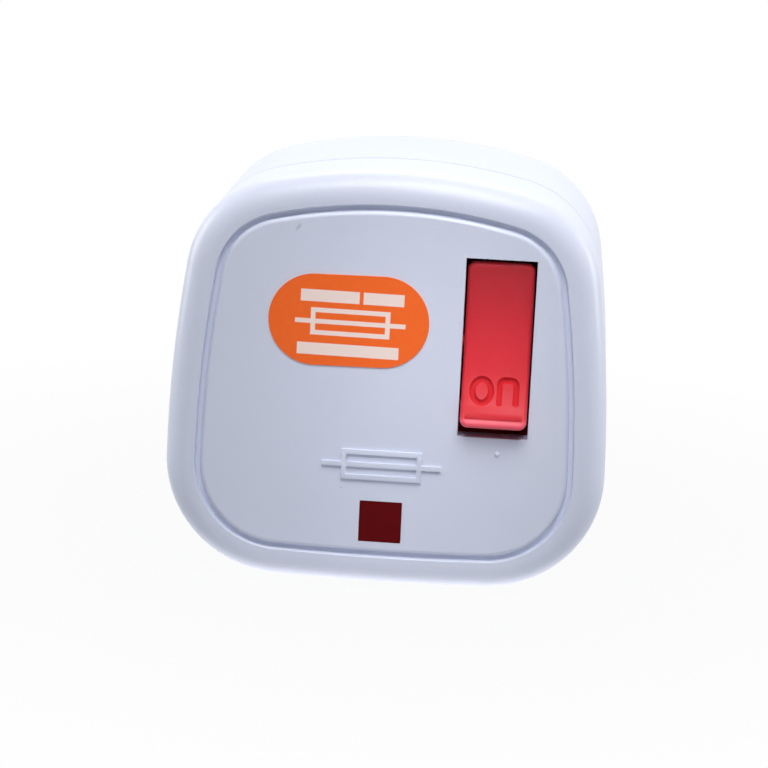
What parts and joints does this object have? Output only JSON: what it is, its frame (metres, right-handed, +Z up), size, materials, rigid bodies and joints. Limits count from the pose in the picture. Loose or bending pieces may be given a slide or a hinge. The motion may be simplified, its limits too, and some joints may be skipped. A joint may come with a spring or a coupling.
{
  "type": "switched fused three-pin plug",
  "caption": "Rewireable three-pin mains plug with a rounded square body, a rocker switch, a neon indicator and a fuse inside.",
  "frame": {"origin": "on the flat mating face, midway between the earth pin and the two current pins", "axes": "+Z up with the earth pin on top as in a wall socket, the front faces -Y, the pins point along +Y, +X is right seen from the front"},
  "size_m": [0.0534, 0.0565, 0.0507],
  "materials": {
    "white_plastic": "moulded urea, smooth gloss",
    "red_plastic": "moulded, satin gloss",
    "black_plastic": "moulded nylon, matt",
    "brass": "pressed and machined, bare",
    "steel": "zinc plated",
    "nickel": "nickel plated caps",
    "ceramic": "fired, unglazed",
    "red_lens": "clear dark red moulding",
    "lamp_glass": "clear blown glass",
    "resistor_coat": "dipped lacquer",
    "lead_cover": "thin insulating tube",
    "orange_paper": "printed film label"
  },
  "bodies": {
    "housing": {"front_cover": "white_plastic", "rear_base": "white_plastic", "switch_frame": "red_plastic", "common_contact": "brass", "line_contact": "brass", "fuse_clip_lower": "brass", "fuse_body": "ceramic", "fuse_cap_upper": "nickel", "fuse_cap_lower": "nickel", "earth_pin": "brass", "live_pin": "brass", "neutral_pin": "brass", "live_pin_sleeve": "black_plastic", "neutral_pin_sleeve": "black_plastic", "live_terminal": "brass", "live_terminal_screw": "brass", "neutral_terminal_screw": "brass", "earth_terminal_screw": "brass", "cord_grip_bar": "black_plastic", "grip_screw_left": "steel", "grip_screw_right": "steel", "cover_screw": "brass", "cover_insert": "brass", "neon_lens": "red_lens", "neon_lamp": "lamp_glass", "neon_resistor": "resistor_coat", "neon_link": "steel", "neon_lead_live": "lead_cover", "neon_lead_neutral": "lead_cover", "fuse_label": "orange_paper"},
    "rocker": {"rocker_switch": "red_plastic", "plunger": "brass", "plunger_spring": "steel"},
    "moving_contact": {"contact_arm": "brass"}
  },
  "joints": [
    {"name": "rocker_tilt", "type": "hinge", "parent": "housing", "child": "rocker", "pos_m": [0.0126, -0.0284, 0.0017], "axis": [1, 0, 0], "range_deg": [0, 15]},
    {"name": "contact_tilt", "type": "hinge", "parent": "housing", "child": "moving_contact", "pos_m": [0.0126, -0.0185, 0.0017], "axis": [1, 0, 0], "range_deg": [-16, 0]}
  ],
  "couplings": [
    {"joint": "contact_tilt", "follows": "rocker_tilt", "ratio": -1.0666}
  ]
}
